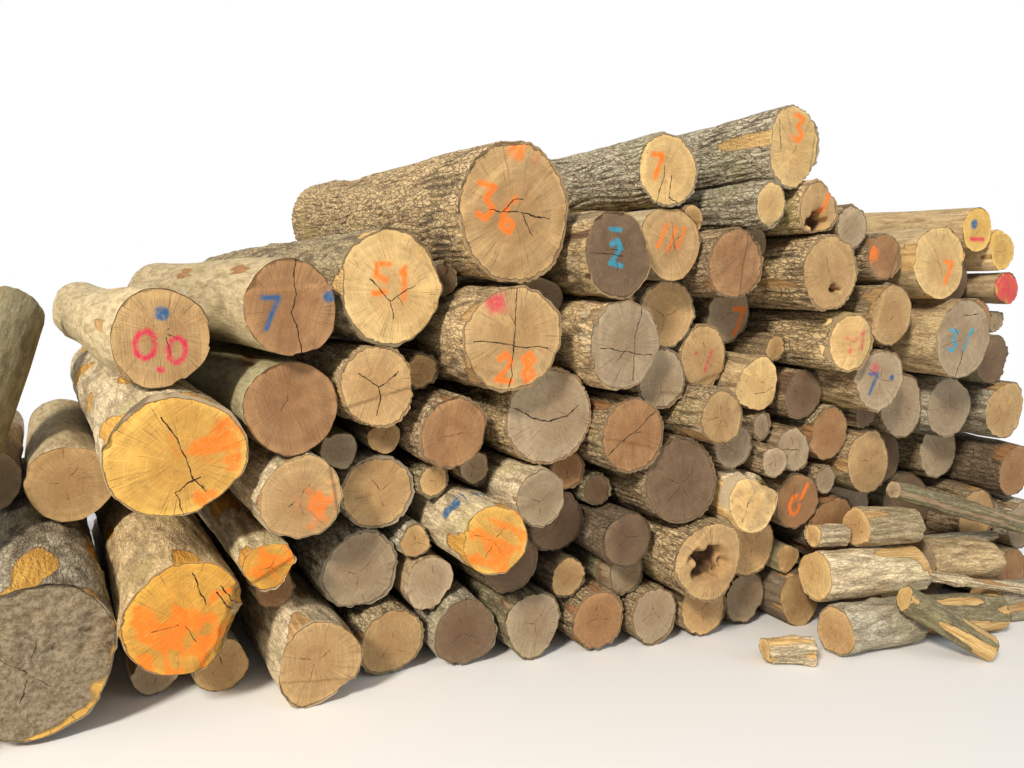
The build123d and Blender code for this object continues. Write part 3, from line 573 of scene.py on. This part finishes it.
        # what the shader reads
        pith = np.array([chance.uniform(-0.12, 0.12), chance.uniform(-0.12, 0.12)]) * radius
        ra, ru = a - pith[0], u - pith[1]
        ringTheta, ringFar = np.arctan2(ru, ra), np.hypot(ra, ru)
        oval = 1 + 0.05 * waves(seed + 13, ringTheta, ringFar, 3, 0.1)
        rows = np.flatnonzero(mine)
        checks = checkSegments(seed + 21, style["rays"], style["reach"], radius)
        checks = [(x0 + pith[0], z0 + pith[1], x1 + pith[0], z1 + pith[1], width)
                  for x0, z0, x1, z1, width in checks]
        splits = [(*(np.array(one) * radius), *(np.array(two) * radius), 0.0022 + 0.004 * radius)
                  for line in style["splits"] for one, two in zip(line, line[1:])]
        addSegments(kept, rows, checks)
        addSegments(kept, rows[atFront], splits + checks)
        sprayed = markDistances(style["marks"], a, u, radius, seed + 31)
        marks[mine] = np.where((atFront & (end | sawn))[:, None], sprayed, 1.0)
        for paint, place, width in style["bands"]:
            band = np.abs(along - place - 0.04 * lumps) - width
            band = band + 0.5 * np.maximum(0, np.abs(theta - 1.9) - 0.9)
            channel = paints.index(paint)
            nearer = np.minimum(marks[mine, channel], band)
            marks[mine, channel] = np.where(side & ~end, nearer, marks[mine, channel])
        one = np.ones(len(a))
        kept["grain"][mine] = np.column_stack([a + seed * 0.013, u, along])
        kept["ringPlace"][mine] = np.column_stack([ra * oval, ru * oval, seed * 0.017 * one])
        kept["polar"][mine] = np.column_stack([np.cos(ringTheta), np.sin(ringTheta), ringFar + seed * 0.11])
        kept["skin"][mine] = np.column_stack([share, torn, 0 * one])
        kept["facePlace"][mine] = np.column_stack([a, u, 0 * one])
        edge = edge - style["thickBark"] * radius * smoothStep(0.0, 0.7, u / radius)
        coarseness = barkCoarseness[style["kind"]] * one
        kept["rimAndPith"][mine] = np.column_stack([edge, ringFar / radius, coarseness])
        kept["woodTone"][mine] = np.array(woodTones[style["wood"]]) * chance.uniform(0.85, 1.12)
        kept["barkTone"][mine] = np.array(barkTones[style["bark"]]) * chance.uniform(0.85, 1.15)
        # depth in a hollow, where the shader paints decayed wood and shade
        hollow = np.clip((push - 0.05) / 0.08, 0, 1)
        offMiddle = np.hypot(a / radius + 0.22, u / radius - 0.2) + 0.05 * mottle(seed + 19, a, u, 0.12)
        muddy = mud * (1 - smoothStep(1.0, 1.16, offMiddle))
        # mud, depth in a hollow for its painted shade, and the turn of the saw kerfs
        kept["finish"][mine] = np.column_stack([muddy, hollow, turn * one])
    mesh.vertices.foreach_set("co", places.ravel())
    for face in mesh.polygons:
        if face.material_index == 0 and cut[list(face.vertices)].all():
            face.material_index = 1
    for key, values in kept.items():
        addValues(mesh, key, "FLOAT_COLOR" if values.shape[1] == 4 else "FLOAT_VECTOR", values)
    addValues(mesh, "marks", "FLOAT_VECTOR", marks[:, :3])
    addValues(mesh, "cyanMark", "FLOAT", marks[:, 3])
    mesh.update()


class Shader:
    # short names for the nodes of one material

    def __init__(self, name):
        self.material = bpy.data.materials.new(name)
        self.material.use_nodes = True
        self.tree = self.material.node_tree
        self.surface = self.tree.nodes["Principled BSDF"]

    def put(self, kind, **values):
        node = self.tree.nodes.new(kind)
        for key, value in values.items():
            setattr(node, key, value)
        return node

    def link(self, start, finish):
        self.tree.links.new(start, finish)

    def feed(self, socket, value):
        if isinstance(value, bpy.types.NodeSocket):
            self.link(value, socket)
        else:
            socket.default_value = value

    def attribute(self, name):
        node = self.put("ShaderNodeAttribute", attribute_name=name)
        return node.outputs["Vector"]

    def value(self, name):
        node = self.put("ShaderNodeAttribute", attribute_name=name)
        return node.outputs["Fac"]

    def noiseColour(self, vector, scale):
        node = self.put("ShaderNodeTexNoise")
        self.link(vector, node.inputs["Vector"])
        node.inputs["Scale"].default_value = scale
        node.inputs["Detail"].default_value = 3.0
        return node.outputs["Color"]

    def segments(self, place):
        # distance of a place on the face to the nearest bit of a crack, less the bit's half width
        nearest = None
        for number in range(shaping["crackBits"]):
            start = self.put("ShaderNodeAttribute", attribute_name="splitStart" + str(number))
            run = self.attribute("splitRun" + str(number))
            away = self.vector("SUBTRACT", place, start.outputs["Color"])
            share = self.math("DIVIDE", self.dot(away, run), self.dot(run, run), clamp=True)
            across = self.vector("SUBTRACT", away, self.vector("MULTIPLY", run, share))
            length = self.put("ShaderNodeVectorMath", operation="LENGTH")
            self.link(across, length.inputs[0])
            distance = self.math("SUBTRACT", length.outputs["Value"], start.outputs["Alpha"])
            nearest = distance if nearest is None else self.math("MINIMUM", nearest, distance)
        return nearest

    def vector(self, operation, one, two):
        node = self.put("ShaderNodeVectorMath", operation=operation)
        self.link(one, node.inputs[0])
        self.link(two, node.inputs[1])
        return node.outputs["Vector"]

    def dot(self, one, two):
        node = self.put("ShaderNodeVectorMath", operation="DOT_PRODUCT")
        self.link(one, node.inputs[0])
        self.link(two, node.inputs[1])
        return node.outputs["Value"]

    def wobble(self, place, grain, scale, reach):
        # moves a place on the face about by noise
        off = self.put("ShaderNodeVectorMath", operation="MULTIPLY_ADD")
        self.link(self.noiseColour(grain, scale), off.inputs[0])
        off.inputs[1].default_value = (reach, reach, 0.0)
        off.inputs[2].default_value = (-reach / 2, -reach / 2, 0.0)
        return self.vector("ADD", place, off.outputs["Vector"])

    def split(self, vector):
        node = self.put("ShaderNodeSeparateXYZ")
        self.link(vector, node.inputs[0])
        return node.outputs

    def math(self, operation, one, two=0.0, three=0.0, clamp=False):
        node = self.put("ShaderNodeMath", operation=operation, use_clamp=clamp)
        for socket, value in zip(node.inputs, (one, two, three)):
            self.feed(socket, value)
        return node.outputs[0]

    def stretch(self, vector, scale):
        node = self.put("ShaderNodeVectorMath", operation="MULTIPLY")
        self.feed(node.inputs[0], vector)
        node.inputs[1].default_value = scale
        return node.outputs[0]

    def noise(self, vector, scale, detail=4.0, roughness=0.55, distortion=0.0):
        node = self.put("ShaderNodeTexNoise")
        self.link(vector, node.inputs["Vector"])
        node.inputs["Scale"].default_value = scale
        node.inputs["Detail"].default_value = detail
        node.inputs["Roughness"].default_value = roughness
        node.inputs["Distortion"].default_value = distortion
        return node.outputs["Fac"]

    def ramp(self, value, low, high, start=0.0, stop=1.0):
        node = self.put("ShaderNodeMapRange", interpolation_type="SMOOTHSTEP")
        self.feed(node.inputs["Value"], value)
        node.inputs["From Min"].default_value = low
        node.inputs["From Max"].default_value = high
        node.inputs["To Min"].default_value = start
        node.inputs["To Max"].default_value = stop
        return node.outputs["Result"]

    def blend(self, share, one, two, kind="MIX"):
        node = self.put("ShaderNodeMix", data_type="RGBA", blend_type=kind)
        self.feed(node.inputs[0], share)
        for socket, value in ((node.inputs[6], one), (node.inputs[7], two)):
            self.feed(socket, value if isinstance(value, bpy.types.NodeSocket) else (*value, 1.0))
        return node.outputs[2]

    def toned(self, tone, shade):
        # a log's own tone, multiplied by a shade
        return self.blend(1.0, tone, shade, "MULTIPLY")

    def finish(self, colour, relief, roughness, specular):
        self.link(colour, self.surface.inputs["Base Color"])
        self.link(relief, self.surface.inputs["Normal"])
        self.surface.inputs["Roughness"].default_value = roughness
        self.surface.inputs["Specular IOR Level"].default_value = specular

    def bump(self, height, strength, distance, below=None):
        node = self.put("ShaderNodeBump")
        self.link(height, node.inputs["Height"])
        node.inputs["Strength"].default_value = strength
        node.inputs["Distance"].default_value = distance
        if below is not None:
            self.link(below, node.inputs["Normal"])
        return node.outputs["Normal"]


spray = {
    "mistScale": 190.0,
    "mist": 0.022,  # metres by which droplets leave the edge
    "wanderScale": 22.0,
    "wander": 0.012,
    "softEdge": (-0.010, 0.011),
    "wornScale": 34.0,
    "thinnest": 0.45,
    "thickest": 0.94,
}


def paintOver(shader, colour, grain):
    # lays the sprayed marks over a colour, worn and with a misty edge
    mist = shader.noise(grain, spray["mistScale"], 3.0, 0.75)
    wander = shader.noise(grain, spray["wanderScale"], 3.0, 0.6)
    wear = shader.noise(grain, spray["wornScale"], 5.0, 0.75)
    worn = shader.ramp(wear, 0.32, 0.58, spray["thinnest"], spray["thickest"])
    distances = list(shader.split(shader.attribute("marks"))) + [shader.value("cyanMark")]
    for distance, paint in zip(distances, paints):
        shifted = distance
        for noise, reach in ((wander, spray["wander"]), (mist, spray["mist"])):
            shifted = shader.math("ADD", shifted, shader.math("MULTIPLY_ADD", noise, reach, -reach / 2))
        cover = shader.math("MULTIPLY", worn, shader.ramp(shifted, *spray["softEdge"], 1.0, 0.0))
        colour = shader.blend(cover, colour, paintColours[paint])
    return colour


# shades named with a log's own tone multiply it, the rest are laid over it
sawnShades = {
    "tonePale": (1.26, 1.24, 1.14),
    "toneDull": (0.70, 0.62, 0.54),
    "toneHeart": (0.60, 0.45, 0.34),
    "toneKerf": (0.50, 0.44, 0.38),
    "toneBarkDark": (0.40, 0.34, 0.30),
    "toneBarkPale": (0.85, 0.80, 0.75),
    "yearLine": (0.12, 0.06, 0.025),
    "dirt": (0.13, 0.095, 0.06),
    "fineCheck": (0.05, 0.03, 0.02),
    "mudDark": (0.13, 0.10, 0.06),
    "mudPale": (0.34, 0.28, 0.19),
    "crack": (0.02, 0.012, 0.008),
    # decayed wood and painted shade for the inside of a hollow
    "rotAndHollowShadeDark": (0.035, 0.018, 0.010),
    "rotAndHollowShadePale": (0.15, 0.07, 0.032),
    "rimLine": (0.05, 0.03, 0.018),
}
sawnScales = {
    "ringWander": 7.0, "years": 150.0, "broadYears": 30.0, "blotch": 4.2, "dirt": 17.0, "fibre": 230.0,
    "crumbs": 38.0, "crackEdge": 25.0, "rim": 18.0,
    "rays": (22.0, 22.0, 2.5), "fineChecks": (55.0, 55.0, 4.5), "kerfs": (3.0, 75.0, 3.0),
}


def ringsAndRays(shader, grain, turn):
    # year rings run round the pith, rays and fine checks run out from it, saw kerfs straight over the face
    ringPlace = shader.attribute("ringPlace")
    polar = shader.attribute("polar")
    wander = shader.noise(ringPlace, sawnScales["ringWander"], 3.0)
    node = shader.put("ShaderNodeVectorMath", operation="LENGTH")
    shader.link(shader.stretch(ringPlace, (1.0, 1.0, 0.0)), node.inputs[0])
    far = shader.math("MULTIPLY_ADD", wander, 0.03, node.outputs["Value"])
    ringWave = shader.put("ShaderNodeCombineXYZ")
    shader.link(far, ringWave.inputs[0])
    years = shader.noise(ringWave.outputs[0], sawnScales["years"], 1.5, 0.6)
    broadYears = shader.noise(ringWave.outputs[0], sawnScales["broadYears"], 2.0, 0.6)
    rays = shader.noise(shader.stretch(polar, sawnScales["rays"]), 1.0, 3.0, 0.65)
    fineChecks = shader.noise(shader.stretch(polar, sawnScales["fineChecks"]), 1.0, 2.0, 0.5)
    turned = shader.put("ShaderNodeVectorRotate", rotation_type="Z_AXIS")
    shader.link(grain, turned.inputs["Vector"])
    shader.link(turn, turned.inputs["Angle"])
    kerfs = shader.noise(shader.stretch(turned.outputs[0], sawnScales["kerfs"]), 1.6, 3.0, 0.65, 0.25)
    return years, broadYears, rays, fineChecks, kerfs


def sawnWood():
    shader = Shader("sawnWood")
    tone = shader.attribute("woodTone")
    grain = shader.attribute("grain")
    rim, pith, coarseness = shader.split(shader.attribute("rimAndPith"))
    # hollow is the depth in a hollow, where decay and painted shade go
    mud, hollow, turn = shader.split(shader.attribute("finish"))
    years, broadYears, rays, fineChecks, kerfs = ringsAndRays(shader, grain, turn)
    blotch = shader.noise(grain, sawnScales["blotch"], 4.0, 0.6, 0.4)
    dirt = shader.noise(grain, sawnScales["dirt"], 6.0, 0.68)
    fibre = shader.noise(grain, sawnScales["fibre"], 2.0, 0.6)
    pale = shader.toned(tone, sawnShades["tonePale"])
    dull = shader.toned(tone, sawnShades["toneDull"])
    colour = shader.blend(shader.ramp(broadYears, 0.35, 0.7), shader.blend(0.5, dull, tone), tone)
    colour = shader.blend(shader.ramp(years, 0.35, 0.65, 0.20, 0.0), colour, sawnShades["yearLine"])
    colour = shader.blend(shader.ramp(rays, 0.50, 0.72, 0.0, 0.6), colour, pale)
    sap = shader.ramp(shader.math("MULTIPLY_ADD", blotch, 0.03, rim), 0.030, 0.060, 0.45, 0.0)
    colour = shader.blend(sap, colour, pale)
    heart = shader.ramp(shader.math("MULTIPLY_ADD", blotch, 0.6, pith), 0.60, 0.95, 0.45, 0.0)
    colour = shader.blend(heart, colour, shader.toned(tone, sawnShades["toneHeart"]))
    colour = shader.blend(shader.ramp(blotch, 0.47, 0.70, 0.0, 0.85), colour, dull)
    colour = shader.blend(shader.ramp(blotch, 0.46, 0.28, 0.0, 0.5), colour, pale)
    kerfShade = shader.toned(tone, sawnShades["toneKerf"])
    colour = shader.blend(shader.ramp(kerfs, 0.45, 0.75, 0.0, 0.38), colour, kerfShade)
    colour = shader.blend(shader.ramp(kerfs, 0.42, 0.25, 0.0, 0.35), colour, pale)
    colour = shader.blend(shader.ramp(dirt, 0.55, 0.78, 0.0, 0.6), colour, sawnShades["dirt"])
    colour = shader.blend(shader.ramp(fibre, 0.4, 0.75, 0.0, 0.18), colour, pale)
    colour = shader.blend(shader.ramp(fineChecks, 0.62, 0.69, 0.0, 0.7), colour, sawnShades["fineCheck"])
    # mud and weather, then the paint
    crumbs = shader.noise(grain, sawnScales["crumbs"], 6.0, 0.75)
    mudShade = shader.blend(shader.ramp(crumbs, 0.35, 0.65), sawnShades["mudDark"], sawnShades["mudPale"])
    mudSpread = shader.ramp(shader.math("MULTIPLY_ADD", dirt, 0.5, mud), 0.35, 0.75)
    muddy = shader.math("MULTIPLY", mudSpread, 0.93)
    colour = shader.blend(muddy, colour, mudShade)
    colour = paintOver(shader, colour, grain)
    # cracks, and the dark of decayed wood with painted shade deep in a hollow
    crackPlace = shader.wobble(shader.attribute("facePlace"), grain, 9.0, 0.05)
    crack = shader.segments(shader.wobble(crackPlace, grain, 45.0, 0.010))
    crackEdge = shader.math("MULTIPLY_ADD", shader.noise(grain, sawnScales["crackEdge"], 2.0), 0.006, crack)
    colour = shader.blend(shader.ramp(crackEdge, 0.0015, 0.0036, 1.0, 0.0), colour, sawnShades["crack"])
    rotAndHollowShade = shader.ramp(shader.math("MULTIPLY_ADD", dirt, 0.8, hollow), 0.55, 1.1, 0.0, 0.9)
    rotAndHollowShadeColour = shader.blend(fibre, sawnShades["rotAndHollowShadeDark"], sawnShades["rotAndHollowShadePale"])
    colour = shader.blend(rotAndHollowShade, colour, rotAndHollowShadeColour)
    # bark shows as an uneven band round the rim, with a thin dark line inside it
    barkDepth = shader.math("MULTIPLY_ADD", coarseness, 0.030, 0.014)
    rimEdge = shader.math("MULTIPLY_ADD", shader.noise(grain, sawnScales["rim"], 5.0, 0.65), barkDepth, -0.007)
    inBark = shader.math("SUBTRACT", rimEdge, rim)
    barkTone = shader.attribute("barkTone")
    barkSide = shader.blend(dirt, shader.toned(barkTone, sawnShades["toneBarkDark"]),
                            shader.toned(barkTone, sawnShades["toneBarkPale"]))
    colour = shader.blend(shader.ramp(inBark, -0.004, 0.0, 0.0, 0.85), colour, sawnShades["rimLine"])
    colour = shader.blend(shader.ramp(inBark, 0.001, 0.004), colour, barkSide)
    relief = shader.bump(kerfs, 0.5, 0.006)
    relief = shader.bump(rays, 0.3, 0.004, relief)
    relief = shader.bump(dirt, 0.4, 0.008, relief)
    relief = shader.bump(shader.math("MULTIPLY", crumbs, muddy), 0.8, 0.020, relief)
    relief = shader.bump(fibre, 0.5, 0.0015, relief)
    shader.finish(colour, relief, 0.82, 0.25)
    return shader.material


barkShades = {
    "toneDim": (0.68, 0.62, 0.56),
    "toneBright": (1.34, 1.34, 1.30),
    "toneDamp": (0.80, 0.86, 0.56),
    "toneTornDark": (0.55, 0.45, 0.36),
    "toneTornPale": (0.98, 0.95, 0.88),
    # furrow and crevice colours: the bark's own dark colour with painted shade in its recesses
    "furrowDarkAndShade": (0.05, 0.033, 0.02),
    "crevice": (0.055, 0.037, 0.022),
    "fleck": (0.07, 0.05, 0.03),
    "lichen": (0.46, 0.45, 0.36),
    "tornEdge": (0.20, 0.10, 0.045),
}
barkScales = {
    "coarse": 26.0, "fine": 95.0, "plates": 40.0, "broad": 2.6, "patch": 8.0, "fleck": 150.0, "spot": 55.0,
    "streak": 60.0,
}


def barkSkin():
    shader = Shader("barkSkin")
    tone = shader.attribute("barkTone")
    wood = shader.attribute("woodTone")
    grain = shader.attribute("grain")
    share, torn, _ = shader.split(shader.attribute("skin"))
    _, _, coarseness = shader.split(shader.attribute("rimAndPith"))
    stretched = shader.stretch(grain, (1.0, 1.0, 0.22))
    coarse = shader.noise(stretched, barkScales["coarse"], 5.0, 0.62, 0.45)
    fine = shader.noise(stretched, barkScales["fine"], 4.0, 0.65, 0.2)
    cell = shader.put("ShaderNodeTexVoronoi", feature="DISTANCE_TO_EDGE")
    longways = shader.stretch(grain, (1.0, 1.0, 0.30))
    shader.link(shader.blend(0.06, longways, shader.noiseColour(grain, 12.0), "ADD"), cell.inputs["Vector"])
    cell.inputs["Scale"].default_value = barkScales["plates"]
    crevice = shader.math("MULTIPLY", shader.ramp(cell.outputs["Distance"], 0.02, 0.15, 1.0, 0.0), coarseness)
    broad = shader.noise(grain, barkScales["broad"], 3.0, 0.55)
    patch = shader.noise(grain, barkScales["patch"], 6.0, 0.7)
    fleck = shader.noise(shader.stretch(grain, (1.0, 1.0, 0.5)), barkScales["fleck"], 2.0, 0.5)
    spot = shader.noise(shader.stretch(grain, (1.0, 1.0, 0.6)), barkScales["spot"], 2.0, 0.5)
    dim = shader.toned(tone, barkShades["toneDim"])
    bright = shader.toned(tone, barkShades["toneBright"])
    colour = shader.blend(shader.ramp(coarse, 0.28, 0.66), dim, bright)
    # furrow bottoms and plate crevices darken: partly the bark's own dark colour, partly painted shade
    furrowDarkAndShade = shader.math("MULTIPLY", shader.ramp(share, -0.48, 0.0, 0.80, 0.0), coarseness)
    colour = shader.blend(furrowDarkAndShade, colour, barkShades["furrowDarkAndShade"])
    colour = shader.blend(shader.math("MULTIPLY", crevice, 0.75), colour, barkShades["crevice"])
    colour = shader.blend(shader.ramp(fine, 0.50, 0.72, 0.0, 0.5), colour, bright)
    colour = shader.blend(shader.ramp(spot, 0.60, 0.68, 0.0, 0.55), colour, dim)
    colour = shader.blend(shader.ramp(fleck, 0.60, 0.70, 0.0, 0.7), colour, barkShades["fleck"])
    # green on the damp side and pale lichen
    damp = shader.toned(tone, barkShades["toneDamp"])
    colour = shader.blend(shader.ramp(broad, 0.52, 0.74, 0.0, 0.5), colour, damp)
    colour = shader.blend(shader.ramp(patch, 0.58, 0.70, 0.0, 0.4), colour, barkShades["lichen"])
    colour = shader.blend(shader.ramp(patch, 0.42, 0.30, 0.0, 0.45), colour, dim)
    # torn places show pale streaked wood with a red-brown edge
    ragged = shader.math("ADD", torn, shader.math("MULTIPLY_ADD", coarse, 0.9, -0.45))
    streak = shader.noise(shader.stretch(grain, (1.0, 1.0, 0.05)), barkScales["streak"], 4.0, 0.65)
    bareWood = shader.blend(shader.ramp(streak, 0.3, 0.7), shader.toned(wood, barkShades["toneTornDark"]),
                            shader.toned(wood, barkShades["toneTornPale"]))
    colour = shader.blend(shader.ramp(ragged, 0.30, 0.44, 0.0, 0.85), colour, barkShades["tornEdge"])
    colour = shader.blend(shader.ramp(ragged, 0.48, 0.60), colour, bareWood)
    colour = paintOver(shader, colour, grain)
    depth = shader.math("MULTIPLY_ADD", coarseness, 0.75, 0.25)
    relief = shader.bump(shader.math("MULTIPLY", coarse, depth), 1.0, 0.020)
    relief = shader.bump(shader.math("SUBTRACT", 1.0, crevice), 0.7, 0.008, relief)
    relief = shader.bump(fine, 0.6, 0.004, relief)
    shader.finish(colour, relief, 0.88, 0.2)
    return shader.material


skins = [barkSkin(), sawnWood()]
triangles = {}
for nodeName in sorted(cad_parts):
    dressNode(nodeName, skins)
print("logs dressed:", sum(triangles.values()), "triangles, at most", max(triangles.values()), "in one piece")

stage = {"size": 60.0, "floor": (0.80, 0.79, 0.77), "sky": (0.86, 0.92, 1.0), "skyLevel": 0.5,
         "shadowReach": 6.5, "whiteReach": 12.0}


def plainFloor():
    bpy.ops.object.select_all(action="DESELECT")
    bpy.ops.mesh.primitive_plane_add(size=stage["size"], location=(0, 0, 0))
    floor = bpy.context.object
    floor.name = "floor"
    shader = Shader("paleFloor")
    shader.surface.inputs["Base Color"].default_value = (*stage["floor"], 1.0)
    shader.surface.inputs["Roughness"].default_value = 0.95
    # far from the heap the floor goes over into the white behind it
    place = shader.put("ShaderNodeTexCoord")
    reach = shader.put("ShaderNodeVectorMath", operation="LENGTH")
    shader.link(place.outputs["Object"], reach.inputs[0])
    path = shader.put("ShaderNodeLightPath")
    white = shader.put("ShaderNodeEmission")
    far = shader.ramp(reach.outputs["Value"], stage["shadowReach"], stage["whiteReach"])
    mixed = shader.put("ShaderNodeMixShader")
    shader.link(shader.math("MULTIPLY", far, path.outputs["Is Camera Ray"]), mixed.inputs[0])
    shader.link(shader.surface.outputs[0], mixed.inputs[1])
    shader.link(white.outputs[0], mixed.inputs[2])
    shader.link(mixed.outputs[0], shader.tree.nodes["Material Output"].inputs["Surface"])
    floor.data.materials.append(shader.material)


def paleWorld():
    world = bpy.data.worlds.new("paleWorld")
    scene.world = world
    world.use_nodes = True
    nodes, links = world.node_tree.nodes, world.node_tree.links
    sky = nodes["Background"]
    sky.inputs["Color"].default_value = (*stage["sky"], 1.0)
    sky.inputs["Strength"].default_value = stage["skyLevel"]
    white = nodes.new("ShaderNodeBackground")
    white.inputs["Color"].default_value = (1.0, 1.0, 1.0, 1.0)
    path = nodes.new("ShaderNodeLightPath")
    pick = nodes.new("ShaderNodeMixShader")
    seen = path.outputs["Is Camera Ray"]
    for ray in ("Is Glossy Ray", "Is Transmission Ray"):
        either = nodes.new("ShaderNodeMath")
        either.operation = "MAXIMUM"
        links.new(seen, either.inputs[0])
        links.new(path.outputs[ray], either.inputs[1])
        seen = either.outputs[0]
    links.new(seen, pick.inputs[0])
    links.new(sky.outputs[0], pick.inputs[1])
    links.new(white.outputs[0], pick.inputs[2])
    links.new(pick.outputs[0], nodes["World Output"].inputs["Surface"])


plainFloor()
paleWorld()

lamps = {
    "key": dict(place=(-16.5, -15.0, 13.5), target=(0.0, 0.0, 1.5), size=3.4, power=7600.0,
                colour=(1.0, 0.93, 0.82)),
    "back": dict(place=(5.0, 12.0, 8.0), target=(0.0, 0.0, 1.5), size=6.0, power=950.0,
                 colour=(0.93, 0.96, 1.0)),
    "fill": dict(place=(9.0, -9.0, 5.0), target=(1.0, 0.0, 1.5), size=7.0, power=260.0,
                 colour=(0.88, 0.94, 1.0)),
}
for lampName, lamp in lamps.items():
    light = bpy.data.lights.new(lampName, "AREA")
    light.energy = lamp["power"]
    light.size = lamp["size"]
    light.color = lamp["colour"]
    holder = bpy.data.objects.new(lampName, light)
    holder.location = lamp["place"]
    aim = Vector(lamp["target"]) - Vector(lamp["place"])
    holder.rotation_euler = aim.to_track_quat("-Z", "Y").to_euler()
    scene.collection.objects.link(holder)

view = {"place": (-2.640, -5.720, 2.10), "yaw": 23.0, "pitch": 4.0, "roll": 4.0, "lens": 27.07, "sensor": 36.0}
yaw, pitch, roll = (math.radians(view[key]) for key in ("yaw", "pitch", "roll"))
right = Vector((math.cos(yaw), -math.sin(yaw), 0.0))
ahead = Vector((math.sin(yaw) * math.cos(pitch), math.cos(yaw) * math.cos(pitch), -math.sin(pitch)))
over = right.cross(ahead)
right, over = right * math.cos(roll) + over * math.sin(roll), over * math.cos(roll) - right * math.sin(roll)
cameraData = bpy.data.cameras.new("camera")
cameraData.lens = view["lens"]
cameraData.sensor_width = view["sensor"]
camera = bpy.data.objects.new("camera", cameraData)
turned = Matrix((right, over, -ahead)).transposed().to_4x4()
turned.translation = Vector(view["place"])
camera.matrix_world = turned
scene.collection.objects.link(camera)
scene.camera = camera
scene.view_settings.view_transform = "Standard"
print("stage, lamps and camera set")
